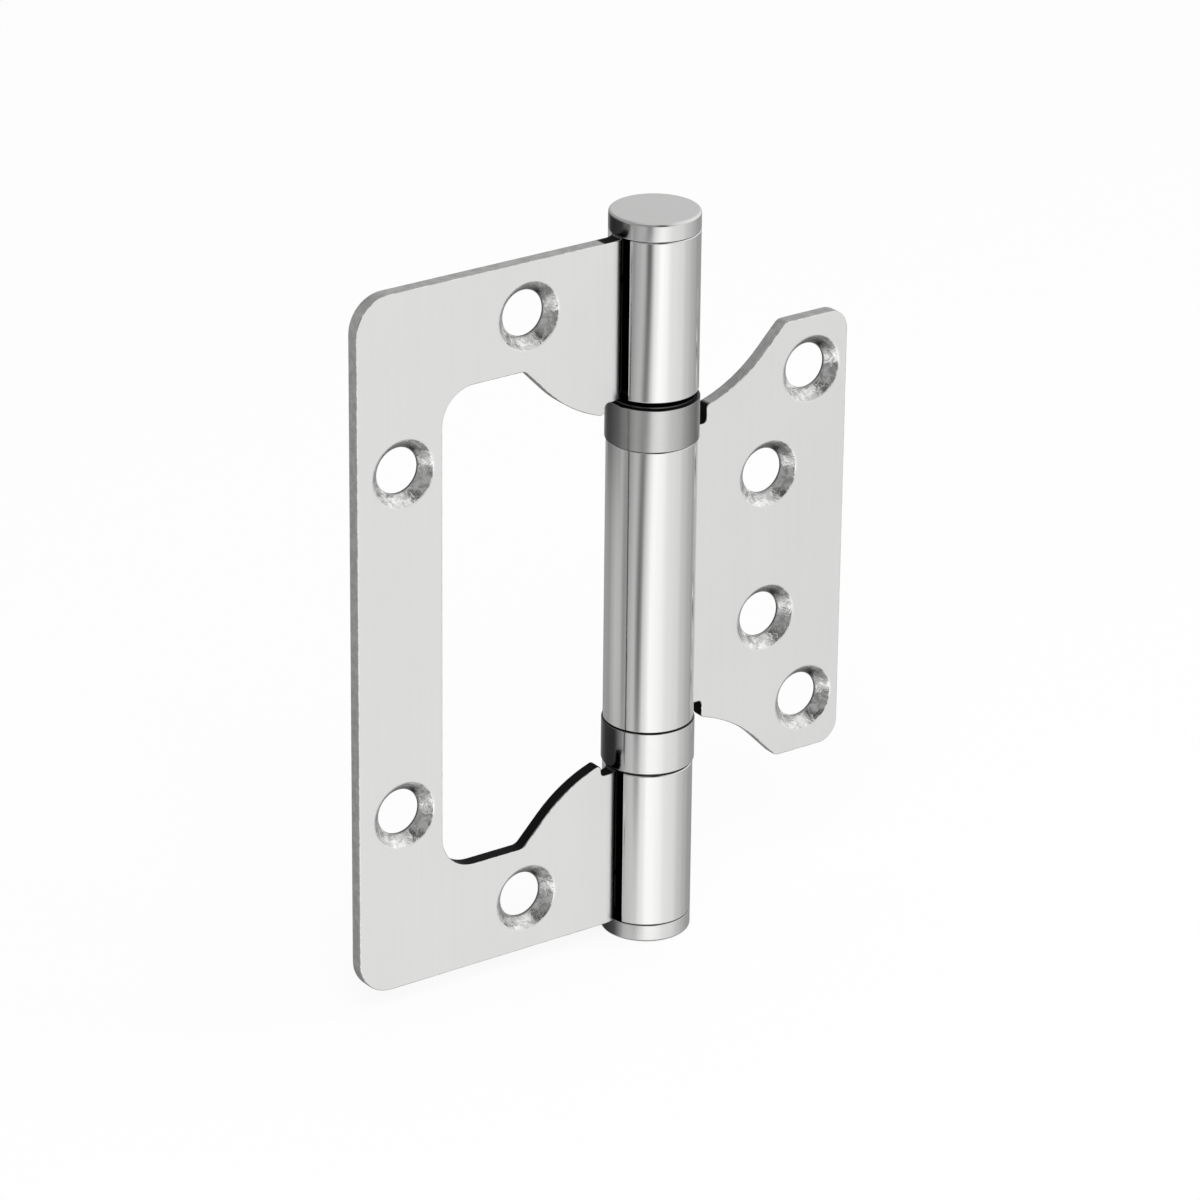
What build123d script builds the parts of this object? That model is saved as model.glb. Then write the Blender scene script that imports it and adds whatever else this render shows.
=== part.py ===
from build123d import *
from math import acos, atan2, degrees, sqrt
import os

os.makedirs("parts", exist_ok=True)

# Butterfly hinge, laid out flat. Millimetres, +Z up along the pin, large leaf towards -X,
# small leaf towards +X, screw heads towards -Y. The origin is on the pin axis at mid height.

# Sheet and pin
sheet = 2.0              # thickness of both leaves
pin_radius = 4.15
running_gap = 0.05       # pin to knuckle bore, all round

# Large leaf
leaf_height = 100.0
leaf_reach = 48.0        # pin axis to far edge
leaf_corner = 5.0
column_width = 13.3      # strip between the far edge and the window
window_height = 69.4
window_corner = 5.0
knuckle_rise = 7.4       # window's ends to the inner ends of the outer knuckles

# Shoulder between window and knuckle, seen on both leaves
shoulder_start = 21.7    # pin axis to where the straight edge ends
shoulder_knee = 18.2     # pin axis to where the slope starts to curve
knee_drop = 3.6
shoulder_drop = 9.2
shoulder_round = 1.5
relief_reach = 8.8       # pin axis to the wall of the notch beside each bearing
relief_round = 0.6

# Small leaf, which lies in the window when the hinge is closed
nest_gap = 2.4
small_corner = 3.0

# Rolled ends
leaf_offset = 0.6        # pin axis to the middle of each leaf's sheet
sweep_radius = 3.0       # bend from leaf to barrel, along the middle of the sheet
seam_gap = 1.2           # free end of the roll to the face of the leaf

# Screw holes
hole_radius = 3.2
sink_radius = 4.75
sink_angle = 90
column_edge = 7.2        # column holes to the large leaf's far edge
column_rise = 24.6       # column holes above and below mid height
arm_reach = 21.1         # pin axis to the arm holes, which lie midway up each arm
outer_edge = 6.0         # outer holes to the small leaf's far edge
outer_drop = 7.7         # outer holes to the small leaf's ends
inner_reach = 19.4       # pin axis to the inner holes
inner_rise = 10.7

# Caps at both ends of the barrel
cap_height = 2.6
cap_chamfer = 0.25
spigot_length = 6.0
spigot_gap = 0.02
pin_chamfer = 0.6
pin_slack = 0.5          # pin to upper spigot

# Thrust bearings between the knuckles
bearing_height = 6.4
end_play = 0.6           # left over above the upper bearing
cup_wall = 0.4
cup_step = 0.3           # free rim of the cup stays this far short of the bearing's height
cup_overhang = 0.2       # cup stands this far proud of the barrel
cup_chamfer = 0.1
cup_flange = 0.8         # width of the cup's floor, inside its wall
race_gap = 0.05          # turning race to cup
race_bore_gap = 0.1
ball_radius = 0.5
ball_count = 6
ball_gap = 0.03          # ball to race
cage_thickness = 0.5
cage_gap = 0.1
pocket_gap = 0.05        # ball to the sides of its window in the cage

# Worked out from the sizes above
bore_radius = pin_radius + running_gap
barrel_radius = bore_radius + sheet
window_reach = leaf_reach - column_width
knuckle_opening = window_height - 2 * knuckle_rise
mid_height = knuckle_opening - 2 * bearing_height - end_play
mid_bottom = bearing_height - knuckle_opening / 2
mid_top = mid_bottom + mid_height
mid_centre = (mid_bottom + mid_top) / 2
small_reach = window_reach - nest_gap
small_height = window_height - 2 * nest_gap
column_hole = (leaf_reach - column_edge, column_rise)
arm_hole = (arm_reach, (leaf_height + window_height) / 4)
outer_hole = (small_reach - outer_edge, small_height / 2 - outer_drop)
inner_hole = (inner_reach, inner_rise)
spigot_tip = leaf_height / 2 - spigot_length

# A corner's round ends before the shoulder's round starts, however narrow the leaf is
window_round = min(window_corner, window_reach - shoulder_start - shoulder_round)
small_round = min(small_corner, small_reach - shoulder_start - shoulder_round)


def roll_section(reach, offset):
    """Draws the edge-on outline of a leaf on the -X side: flat, swept back and rolled round the pin."""
    middle_radius = bore_radius + sheet / 2
    sweep_x = sqrt((middle_radius + sweep_radius) ** 2 - (offset + sweep_radius) ** 2)
    centre = (-sweep_x, offset + sweep_radius)
    span = middle_radius + sweep_radius
    join = degrees(atan2(centre[1], centre[0]))
    turn = join - 90
    face_radius = sweep_radius + sheet / 2
    reach_angle = degrees(acos((barrel_radius**2 + span**2 - face_radius**2) / (2 * barrel_radius * span)))
    roll = 360 - reach_angle - degrees(seam_gap / barrel_radius)
    front, back = offset - sheet / 2, offset + sheet / 2
    Line((-reach, front), (-sweep_x, front))
    CenterArc(centre, face_radius, -90, turn)
    inner = CenterArc((0, 0), bore_radius, join, -roll)
    outer = CenterArc((0, 0), barrel_radius, join, -roll)
    Line(inner @ 1, outer @ 1)
    CenterArc(centre, sweep_radius - sheet / 2, -90, turn)
    Line((-sweep_x, back), (-reach, back))
    Line((-reach, back), (-reach, front))


def shoulder_edge(side, height):
    """Draws the upper shoulder of a leaf, from its straight edge to the notch beside the bearing."""
    top = height / 2
    slope = Line((side * shoulder_start, top), (side * shoulder_knee, top - knee_drop))
    TangentArc(slope @ 1, (side * relief_reach, top - shoulder_drop), tangent=slope % 1)


def corners_at(outline, x):
    """Corners of a leaf's outline that lie at one distance from the pin axis."""
    return outline.vertices().filter_by_position(Axis.X, x - 0.1, x + 0.1)


def spots(plane, hole):
    """Places of one hole and its mirror image about mid height, on the front face of a leaf."""
    return [plane.location * Location((hole[0], z, 0)) for z in (-hole[1], hole[1])]


# Large leaf: sheet rolled at both ends of the barrel, with a window for the small leaf
with BuildPart() as large_leaf:
    with BuildSketch(Plane.XY.offset(-leaf_height / 2)):
        with BuildLine():
            roll_section(leaf_reach, -leaf_offset)
        make_face()
    extrude(amount=leaf_height)
    with BuildSketch(Plane.XZ) as window:
        with BuildLine():
            Line((-window_reach, 0), (-window_reach, window_height / 2))
            Line((-window_reach, window_height / 2), (-shoulder_start, window_height / 2))
            shoulder_edge(-1, window_height)
            Polyline(
                (-relief_reach, window_height / 2 - shoulder_drop),
                (-relief_reach, knuckle_opening / 2),
                (leaf_reach, knuckle_opening / 2),
                (leaf_reach, 0),
            )
            mirror(about=Plane.XZ)
        make_face()
        fillet(window.vertices().group_by(Axis.X)[0], window_round)
        fillet(corners_at(window, -shoulder_start), shoulder_round)
        fillet(corners_at(window, -relief_reach), relief_round)
    extrude(amount=leaf_height, both=True, mode=Mode.SUBTRACT)
    fillet(large_leaf.edges().filter_by(Axis.Y).group_by(Axis.X)[0], leaf_corner)
    large_front = Plane.XZ.offset(leaf_offset + sheet / 2)
    for hole in (column_hole, arm_hole):
        with Locations(*spots(large_front, (-hole[0], hole[1]))):
            CounterSinkHole(hole_radius, sink_radius, counter_sink_angle=sink_angle)
large_leaf.part.label = "large_leaf"
export_step(large_leaf.part, "parts/large_leaf.step")

# Small leaf: the middle knuckle and a plate that nests in the window
small_plane = Plane((0, 0, mid_centre), x_dir=(1, 0, 0), z_dir=(0, -1, 0))
with BuildPart() as small_leaf:
    with BuildSketch(Plane.XY.offset(mid_centre - small_height / 2)):
        with BuildLine():
            roll_section(small_reach, leaf_offset)
        make_face()
        mirror(about=Plane.YZ, mode=Mode.REPLACE)
    extrude(amount=small_height)
    with BuildSketch(small_plane) as small_outline:
        with BuildLine():
            Line((small_reach, 0), (small_reach, small_height / 2))
            Line((small_reach, small_height / 2), (shoulder_start, small_height / 2))
            shoulder_edge(1, small_height)
            Polyline(
                (relief_reach, small_height / 2 - shoulder_drop),
                (relief_reach, mid_height / 2),
                (-small_reach, mid_height / 2),
                (-small_reach, 0),
            )
            mirror(about=Plane.XZ)
        make_face()
        fillet(small_outline.vertices().group_by(Axis.X)[-1], small_round)
        fillet(corners_at(small_outline, shoulder_start), shoulder_round)
        fillet(corners_at(small_outline, relief_reach), relief_round)
    extrude(amount=leaf_height, both=True, mode=Mode.INTERSECT)
    small_front = small_plane.offset(sheet / 2 - leaf_offset)
    for hole in (outer_hole, inner_hole):
        with Locations(*spots(small_front, hole)):
            CounterSinkHole(hole_radius, sink_radius, counter_sink_angle=sink_angle)
small_leaf.part.label = "small_leaf"
export_step(small_leaf.part, "parts/small_leaf.step")

# Pin, held between the spigots of the two caps
with BuildPart() as hinge_pin:
    with BuildSketch(Plane.XY.offset(-spigot_tip)):
        Circle(pin_radius)
    extrude(amount=2 * spigot_tip - pin_slack)
    chamfer(hinge_pin.edges().filter_by(GeomType.CIRCLE), pin_chamfer)
hinge_pin.part.label = "hinge_pin"
export_step(hinge_pin.part, "parts/hinge_pin.step")

# Flat button caps, pressed into the ends of the barrel
for end, side in (("top", 1), ("bottom", -1)):
    rim = Plane((0, 0, side * leaf_height / 2), z_dir=(0, 0, side))
    with BuildPart() as cap:
        with BuildSketch(rim):
            Circle(barrel_radius)
        extrude(amount=cap_height)
        chamfer(cap.edges().filter_by(GeomType.CIRCLE).sort_by(Axis.Z)[-1 if side > 0 else 0], cap_chamfer)
        with BuildSketch(rim):
            Circle(bore_radius - spigot_gap)
        extrude(amount=-spigot_length)
    cap.part.label = f"{end}_cap"
    export_step(cap.part, f"parts/{end}_cap.step")

# Thrust bearings: each cup sits on the middle knuckle and holds one race; the other stays still
cup_outer = barrel_radius + cup_overhang
cup_inner = cup_outer - cup_wall
race_bore = pin_radius + race_bore_gap
ball_circle = (pin_radius + cup_inner) / 2
race_height = (bearing_height - cup_wall) / 2 - ball_radius - ball_gap
ball_level = cup_wall + race_height + ball_radius + ball_gap
window_side = 2 * (ball_radius + pocket_gap)

for level, seat, side in (("upper", mid_top, 1), ("lower", mid_bottom, -1)):
    floor = Plane((0, 0, seat), z_dir=(0, 0, side))

    with BuildPart() as bearing_cup:
        with BuildSketch(floor):
            Circle(cup_outer)
        extrude(amount=bearing_height - cup_step)
        chamfer(bearing_cup.edges().filter_by(GeomType.CIRCLE), cup_chamfer)
        with BuildSketch(floor.offset(cup_wall)):
            Circle(cup_inner)
        extrude(amount=bearing_height, mode=Mode.SUBTRACT)
        with BuildSketch(floor):
            Circle(cup_inner - cup_flange)
        extrude(amount=cup_wall, mode=Mode.SUBTRACT)
    bearing_cup.part.label = f"{level}_bearing_cup"
    export_step(bearing_cup.part, f"parts/{level}_bearing_cup.step")

    races = (
        ("seated_race", cup_wall, cup_inner),
        ("free_race", bearing_height - race_height, cup_inner - race_gap),
    )
    for race_name, race_base, race_outer in races:
        with BuildPart() as race:
            with BuildSketch(floor.offset(race_base)):
                Circle(race_outer)
                Circle(race_bore, mode=Mode.SUBTRACT)
            extrude(amount=race_height)
        race.part.label = f"{level}_{race_name}"
        export_step(race.part, f"parts/{level}_{race_name}.step")

    with BuildPart() as cage:
        with BuildSketch(floor.offset(ball_level - cage_thickness / 2)):
            Circle(cup_inner - cage_gap)
            Circle(pin_radius + cage_gap, mode=Mode.SUBTRACT)
            with PolarLocations(ball_circle, ball_count):
                Rectangle(window_side, window_side, mode=Mode.SUBTRACT)
        extrude(amount=cage_thickness)
    cage.part.label = f"{level}_ball_cage"
    export_step(cage.part, f"parts/{level}_ball_cage.step")

    for number, place in enumerate(PolarLocations(ball_circle, ball_count), start=1):
        with BuildPart() as ball:
            with Locations(floor.offset(ball_level).location * place):
                Sphere(ball_radius)
        ball.part.label = f"{level}_ball_{number}"
        export_step(ball.part, f"parts/{level}_ball_{number}.step")
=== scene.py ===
"""Looks of a flush butterfly hinge: satin leaves, a polished rolled barrel, turned caps and bearings.

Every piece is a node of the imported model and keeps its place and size. This script rounds the sharp
edges, gives each piece its steel, and sets up the studio and the camera. Lengths are in metres, in the
model's own frame: +Z up along the pin, large leaf towards -X, screw heads towards -Y.
"""

from __future__ import annotations

import logging
import math
from dataclasses import dataclass, field
from enum import Enum

import bpy
from mathutils import Matrix, Vector


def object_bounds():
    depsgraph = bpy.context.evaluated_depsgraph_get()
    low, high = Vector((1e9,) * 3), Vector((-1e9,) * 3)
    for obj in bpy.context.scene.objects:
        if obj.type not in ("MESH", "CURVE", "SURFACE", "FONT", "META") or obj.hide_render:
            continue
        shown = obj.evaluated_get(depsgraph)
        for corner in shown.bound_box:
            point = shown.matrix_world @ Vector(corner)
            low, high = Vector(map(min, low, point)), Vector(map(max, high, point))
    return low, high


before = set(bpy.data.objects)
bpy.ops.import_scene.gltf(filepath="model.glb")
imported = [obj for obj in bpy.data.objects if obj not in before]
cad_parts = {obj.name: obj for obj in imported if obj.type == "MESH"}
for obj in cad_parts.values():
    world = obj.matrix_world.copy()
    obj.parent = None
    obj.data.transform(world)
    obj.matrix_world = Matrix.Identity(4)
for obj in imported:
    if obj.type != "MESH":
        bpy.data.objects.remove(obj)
cad_low, cad_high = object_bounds()

log = logging.getLogger("butterfly_hinge")

Tone = tuple[float, float, float]
Place = tuple[float, float, float]
Step = tuple[float, float]
Levels = tuple[tuple[float, float], ...]
Socket = bpy.types.NodeSocket
Tree = bpy.types.NodeTree
Outputs = bpy.types.bpy_prop_collection
Surface = tuple[Socket, Socket, Socket]

MM = 0.001
WHITE = (1.0, 1.0, 1.0, 1.0)
RISING: Step = (0.0, 1.0)
FALLING: Step = (1.0, 0.0)
COLUMN_WIDTH, ROW_HEIGHT, ROWS = 190, 170, 4

# Sizes of the hinge that the finishes follow
BARREL_RADIUS = 6.2 * MM
BARREL_INSIDE = 6.1 * MM
SWEEP_END = 8.2 * MM
NOTCH_END = 8.95 * MM
LEAF_HALF_HEIGHT = 50 * MM
HOLE_RADIUS = 3.2 * MM
SINK_RADIUS = 4.75 * MM

# Soft limits of the zones, as lengths
BESIDE_BARREL: Step = (0.1 * MM, 0.5 * MM)
PAST_SWEEP: Step = (SWEEP_END - 0.1 * MM, SWEEP_END)
PAST_NOTCH: Step = (NOTCH_END, NOTCH_END + 0.6 * MM)
ACROSS_SINK: Step = (HOLE_RADIUS + 0.2 * MM, SINK_RADIUS)
PAST_HOLE: Step = (HOLE_RADIUS + 0.2 * MM, HOLE_RADIUS + 0.4 * MM)
INTO_BARREL: Step = (0.0, 0.1 * MM)
UNDER_CAP: Step = (0.0, 0.12 * MM)

# Soft limits by facing, as the part of the surface's normal along one axis
EDGE_FRONT: Step = (0.2, 0.5)
EDGE_UP: Step = (0.6, 0.9)
EDGE_DOWN: Step = (-0.5, -0.1)
SINK_LEAST: Step = (0.3, 0.55)
SINK_MOST: Step = (0.8, 0.95)
SINK_DOWN: Step = (-0.6, -0.25)
RING_UP: Step = (0.35, 0.6)
NOTCHWARDS: Step = (0.8, 0.955)
ROUNDED_OFF: Step = (0.86, 0.995)

# The way to a notch, as parts sideways and backwards, and shares that are left of a mask
NOTCH_WAY = (0.985, 0.17)
DOWN_EDGE_SHARE = 0.2
OUTER_SINK_SHARE = 0.3


class GrainDirection(Enum):
    """Which way the fine lines of a finish run."""

    ALONG_PIN = "brushed parallel to the pin"
    ROUND_PIN = "turned about the pin"


class NodeSheet:
    """A shader node tree that is filled from left to right.

    Args:
        tree: The node tree to fill.
    """

    def __init__(self, tree: Tree) -> None:
        """Keeps the tree and starts its first column."""
        self.tree = tree
        self.column = 0

    def add(
        self, kind: str, label: str, inputs: dict[str | int, object] | None = None, **settings: object
    ) -> bpy.types.Node:
        """Adds one node.

        Args:
            kind: Blender's name of the node type.
            label: What the node does, in plain words.
            inputs: Values or sockets for the node's inputs, by name or number.
            **settings: Properties of the node itself.

        Returns:
            The new node.
        """
        node = self.tree.nodes.new(kind)
        node.label = label
        node.location = (self.column * COLUMN_WIDTH, -(self.column % ROWS) * ROW_HEIGHT)
        self.column += 1
        for name, value in settings.items():
            setattr(node, name, value)
        for key, value in (inputs or {}).items():
            if isinstance(value, Socket):
                self.tree.links.new(value, node.inputs[key])
            else:
                node.inputs[key].default_value = value
        return node

    def math(self, label: str, operation: str, *values: object, clamp: bool = False) -> Socket:
        """Adds a Math node and returns its result, which clamp holds between 0 and 1."""
        inputs = dict(enumerate(values))
        return self.add("ShaderNodeMath", label, inputs, operation=operation, use_clamp=clamp).outputs[0]

    def vector(self, label: str, operation: str, *values: object) -> Outputs:
        """Adds a Vector Math node and returns its outputs, Vector and Value."""
        return self.add("ShaderNodeVectorMath", label, dict(enumerate(values)), operation=operation).outputs

    def split(self, label: str, vector: Socket) -> list[Socket]:
        """Splits a vector into its X, Y and Z parts."""
        return list(self.add("ShaderNodeSeparateXYZ", label, {0: vector}).outputs)

    def join(self, label: str, *parts: object) -> Socket:
        """Joins X, Y and Z parts into a vector, with 0 for those left out."""
        return self.add("ShaderNodeCombineXYZ", label, dict(enumerate(parts))).outputs[0]

    def pin_distance(self, x: Socket, y: Socket) -> Socket:
        """Works out how far a place is from the pin's axis."""
        flat = self.join("place seen along the pin", x, y)
        return self.vector("distance from the pin axis", "LENGTH", flat)["Value"]

    def ramp(self, label: str, value: Socket, step: Step, ends: Step = RISING) -> Socket:
        """Adds a smooth change from one end to the other, while the value crosses the step."""
        names = ("Value", "From Min", "From Max", "To Min", "To Max")
        inputs = dict(zip(names, (value, *step, *ends)))
        return self.add("ShaderNodeMapRange", label, inputs, interpolation_type="SMOOTHSTEP").outputs["Result"]

    def band(self, label: str, value: Socket, rise: Step, fall: Step) -> Socket:
        """Adds a soft band, which is 1 between the steps rise and fall, and 0 outside them."""
        started = self.ramp(f"{label}, start", value, rise)
        return self.math(label, "MULTIPLY", started, self.ramp(f"{label}, end", value, fall, FALLING))

    def mix(self, label: str, mask: Socket, base: object, other: object) -> Socket:
        """Mixes two values, with the other one where the mask is 1."""
        return self.add("ShaderNodeMix", label, {0: mask, 2: base, 3: other}, data_type="FLOAT").outputs[0]

    def noise(self, label: str, place: Socket, **shape: object) -> Socket:
        """Adds a noise texture, with Scale, Detail, Roughness and Distortion by name."""
        return self.add("ShaderNodeTexNoise", label, {"Vector": place, **shape}).outputs[0]

    def bump(self, label: str, height: Socket, distance: float, **below: Socket) -> Socket:
        """Adds a bump of that distance in metres at height 1, with the bump below it as Normal."""
        inputs = {"Strength": 1.0, "Distance": distance, "Height": height, **below}
        return self.add("ShaderNodeBump", label, inputs).outputs[0]

    def effect(self, group: Tree, label: str, inputs: dict[str, object]) -> Outputs:
        """Puts a shared effect into this tree and returns its outputs."""
        return self.add("ShaderNodeGroup", label, inputs, node_tree=group).outputs

    def give(self, results: dict[str, Socket]) -> Tree:
        """Ends a shader node group with its named outputs.

        Args:
            results: The outputs by name. Each is a number.

        Returns:
            The finished group.
        """
        for name in results:
            self.tree.interface.new_socket(name, in_out="OUTPUT", socket_type="NodeSocketFloat")
        self.add("NodeGroupOutput", "values for the finish", results)
        return self.tree


def new_effect(name: str, inputs: dict[str, float | str]) -> tuple[NodeSheet, Outputs]:
    """Starts a shader node group with its named inputs.

    Args:
        name: Name of the effect.
        inputs: Input names with their default number, or "vector" for a vector.

    Returns:
        A sheet to fill the group, and the sockets of its inputs.
    """
    group = bpy.data.node_groups.new(name, "ShaderNodeTree")
    for label, default in inputs.items():
        kind = "NodeSocketVector" if default == "vector" else "NodeSocketFloat"
        socket = group.interface.new_socket(label, in_out="INPUT", socket_type=kind)
        if default != "vector":
            socket.default_value = default
    sheet = NodeSheet(group)
    return sheet, sheet.add("NodeGroupInput", "values from the finish").outputs


def empty_sheet(owner: bpy.types.Material | bpy.types.World) -> NodeSheet:
    """Clears the nodes of a material or a world.

    Args:
        owner: The material or world.

    Returns:
        A sheet to fill its nodes.
    """
    owner.use_nodes = True
    owner.node_tree.nodes.clear()
    return NodeSheet(owner.node_tree)


@dataclass
class Effects:
    """Shader node groups that the finishes share.

    Attributes:
        grain: Fine straight lines along the pin.
        turning: Fine lines round the pin.
        haze: Slow changes of shine from rolling, polishing and handling.
        zones: Masks of the rolled knuckle, the cut edges, the holes and the screw sinks of a leaf.
        rim_highlight: A mask of the outer edges, where a highlight is painted.
        painted_shade: A mask of the places inside the barrel, between its pieces, on end faces or facing a leaf,
            where shade is painted.
        shear: Broken, patchy tone of sheared edges and chattered sinks.
    """

    grain: Tree = field(init=False)
    turning: Tree = field(init=False)
    haze: Tree = field(init=False)
    zones: Tree = field(init=False)
    rim_highlight: Tree = field(init=False)
    painted_shade: Tree = field(init=False)
    shear: Tree = field(init=False)

    def __post_init__(self) -> None:
        """Builds each group once."""
        self.grain = self.straight_grain()
        self.turning = self.turned_grain()
        self.haze = self.handling_haze()
        self.zones = self.leaf_zones()
        self.rim_highlight = self.painted_rim_highlight()
        self.painted_shade = self.painted_recess_shade()
        self.shear = self.sheared_patches()

    def lines(self, sheet: NodeSheet, coordinates: Socket, contrast: Socket) -> Tree:
        """Turns stretched coordinates into fine lines, and ends the group.

        Args:
            sheet: The group being filled.
            coordinates: Coordinates that change fast across the lines and slowly along them.
            contrast: How far the lines change the tone.

        Returns:
            The group, with the outputs Tone, which is 1 on average, and Height from 0 to 1.
        """
        fine = sheet.noise("fine lines", coordinates, Scale=1.0, Detail=3.0, Roughness=0.65)
        broad = sheet.noise("broader streaks", coordinates, Scale=0.17, Detail=2.0, Roughness=0.5)
        streaks = sheet.math("share of streaks", "MULTIPLY", broad, 0.35)
        height = sheet.math("lines and streaks", "MULTIPLY_ADD", fine, 0.65, streaks)
        centred = sheet.math("about zero", "SUBTRACT", height, 0.5)
        tone = sheet.math("tone of the lines", "MULTIPLY_ADD", centred, contrast, 1.0)
        return sheet.give({"Tone": tone, "Height": height})

    def straight_grain(self) -> Tree:
        """Fine lines that run parallel to the pin, as on brushed sheet.

        Returns:
            The group, with the outputs Tone and Height.
        """
        inputs = {"Position": "vector", "Lines per metre": 7000.0, "Line length": 0.02, "Contrast": 0.3}
        sheet, source = new_effect("brushed_grain", inputs)
        x, y, z = sheet.split("place on the sheet", source["Position"])
        across = sheet.math("across the lines", "MULTIPLY", x, source["Lines per metre"])
        through = sheet.math("through the sheet", "MULTIPLY", y, source["Lines per metre"])
        along = sheet.math("along the lines", "DIVIDE", z, source["Line length"])
        return self.lines(sheet, sheet.join("stretched place", across, through, along), source["Contrast"])

    def turned_grain(self) -> Tree:
        """Fine lines that run round the pin, as a turning tool leaves them.

        Returns:
            The group, with the outputs Tone and Height.
        """
        inputs = {"Position": "vector", "Lines per metre": 9000.0, "Turns per line": 3.0, "Contrast": 0.25}
        sheet, source = new_effect("turned_grain", inputs)
        x, y, z = sheet.split("place on the piece", source["Position"])
        flat = sheet.join("place seen along the pin", x, y)
        radius = sheet.vector("distance from the pin axis", "LENGTH", flat)["Value"]
        unit = sheet.vector("direction from the pin axis", "NORMALIZE", flat)["Vector"]
        sideways = sheet.split("direction parts", unit)[0]
        outward = sheet.math("out from the axis", "MULTIPLY", radius, source["Lines per metre"])
        upward = sheet.math("up the piece", "MULTIPLY", z, source["Lines per metre"])
        sweep = sheet.math("round the piece", "MULTIPLY", sideways, source["Turns per line"])
        return self.lines(sheet, sheet.join("stretched place", outward, sweep, upward), source["Contrast"])

    def handling_haze(self) -> Tree:
        """Slow, faint changes of shine over a surface.

        Returns:
            The group, with the output Haze from 0 to 1.
        """
        sheet, source = new_effect("handling_haze", {"Position": "vector", "Patches per metre": 60.0})
        shape = {"Scale": source["Patches per metre"], "Detail": 3.0, "Roughness": 0.55, "Distortion": 0.4}
        soft = sheet.noise("soft patches", source["Position"], **shape)
        return sheet.give({"Haze": sheet.ramp("patches", soft, (0.3, 0.7))})

    def leaf_zones(self) -> Tree:
        """Masks of the places on a leaf that were worked in other ways than its faces.

        Returns:
            The group, with the outputs Knuckle, Cut Edge, End, Inner Edge, Sink, Hood and Hole Wall. Inner Edge,
            Hood and Hole Wall mark where shade is painted; End marks edges that get painted shade on top of
            their own darker tone.
        """
        inputs = {
            "Position": "vector", "Facing": "vector", "Outer hole": "vector", "Inner hole": "vector",
            "Barrel radius": BARREL_RADIUS, "Window reach": 0.0, "Window rise": 0.0,
        }
        sheet, source = new_effect("leaf_zones", inputs)
        x, y, z = sheet.split("place on the leaf", source["Position"])
        _, depth_facing, up_facing = sheet.split("way the surface faces", source["Facing"])
        front = sheet.math("facing front or back", "ABSOLUTE", depth_facing)
        distance = sheet.math("distance from the pin", "ABSOLUTE", x)
        height = sheet.math("distance from mid height", "ABSOLUTE", z)

        past = sheet.math("past the barrel", "SUBTRACT", sheet.pin_distance(x, y), source["Barrel radius"])
        knuckle = sheet.ramp("inside the barrel", past, BESIDE_BARREL, FALLING)
        outside = sheet.math("not in the barrel", "SUBTRACT", 1.0, knuckle)

        side_on = sheet.ramp("facing sideways", front, EDGE_FRONT, FALLING)
        ends = sheet.ramp("facing up or down", sheet.math("up or down", "ABSOLUTE", up_facing), EDGE_UP)
        sheet_edges = sheet.math("edges of the sheet", "MULTIPLY", side_on, outside)
        cut = sheet.math("cut edges", "MAXIMUM", sheet_edges, ends, clamp=True)

        # Edges in the window and the notches, where shade is painted.
        notch = sheet.ramp("beside the barrel", distance, PAST_NOTCH, FALLING)
        across = sheet.math("within its reach", "LESS_THAN", distance, source["Window reach"])
        upright = sheet.math("within its height", "LESS_THAN", height, source["Window rise"])
        around = sheet.math("in reach and height", "MULTIPLY", across, upright)
        raised = sheet.ramp("not facing down", up_facing, EDGE_DOWN, (DOWN_EDGE_SHARE, 1.0))
        window = sheet.math("in the window", "MULTIPLY", around, raised)
        inner = sheet.math("window or notch", "MAXIMUM", window, notch)
        edges_there = sheet.math("edges there", "MULTIPLY", cut, outside)
        inner_edge = sheet.math("inner edges", "MULTIPLY", inner, edges_there, clamp=True)

        flat_part = sheet.ramp("beyond the sweep", distance, PAST_SWEEP)
        slanted = sheet.band("slanted", front, SINK_LEAST, SINK_MOST)
        sink = sheet.math("screw sinks", "MULTIPLY", flat_part, slanted, clamp=True)
        folded = sheet.join("place, folded to one quarter", distance, 0.0, height)
        gaps = [
            sheet.vector(f"to an {hole.lower()}", "DISTANCE", folded, source[hole])["Value"]
            for hole in ("Outer hole", "Inner hole")
        ]
        nearest = sheet.math("to the nearest hole", "MINIMUM", *gaps)
        rim = sheet.ramp("near the hole's edge", nearest, ACROSS_SINK, (1.0, OUTER_SINK_SHARE))
        # The downward, hooded part of a sink near the hole, where shade is painted.
        downward = sheet.ramp("facing down", up_facing, SINK_DOWN, FALLING)
        hood = sheet.math("hooded part of a sink", "MULTIPLY", rim, downward)
        # The holes' walls, where shade is painted.
        at_hole = sheet.ramp("at a hole", nearest, PAST_HOLE, FALLING)
        wall = sheet.math("walls of the holes", "MULTIPLY", at_hole, side_on)
        return sheet.give({
            "Knuckle": knuckle, "Cut Edge": cut, "End": ends, "Inner Edge": inner_edge,
            "Sink": sink, "Hood": hood, "Hole Wall": wall,
        })

    def painted_rim_highlight(self) -> Tree:
        """A thin mask along the outer edges, where a highlight is painted into the tone.

        Returns:
            The group, with the output Rim from 0 to 1.
        """
        sheet, source = new_effect("painted_rim_highlight", {"Width": 0.25 * MM})
        rounded = sheet.add("ShaderNodeBevel", "surface as if rounded", {"Radius": source["Width"]}, samples=6)
        normal = sheet.add("ShaderNodeNewGeometry", "surface as it is").outputs["Normal"]
        same = sheet.vector("how alike the two are", "DOT_PRODUCT", rounded.outputs[0], normal)["Value"]
        return sheet.give({"Rim": sheet.ramp("where they differ", same, ROUNDED_OFF, FALLING)})

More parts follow.
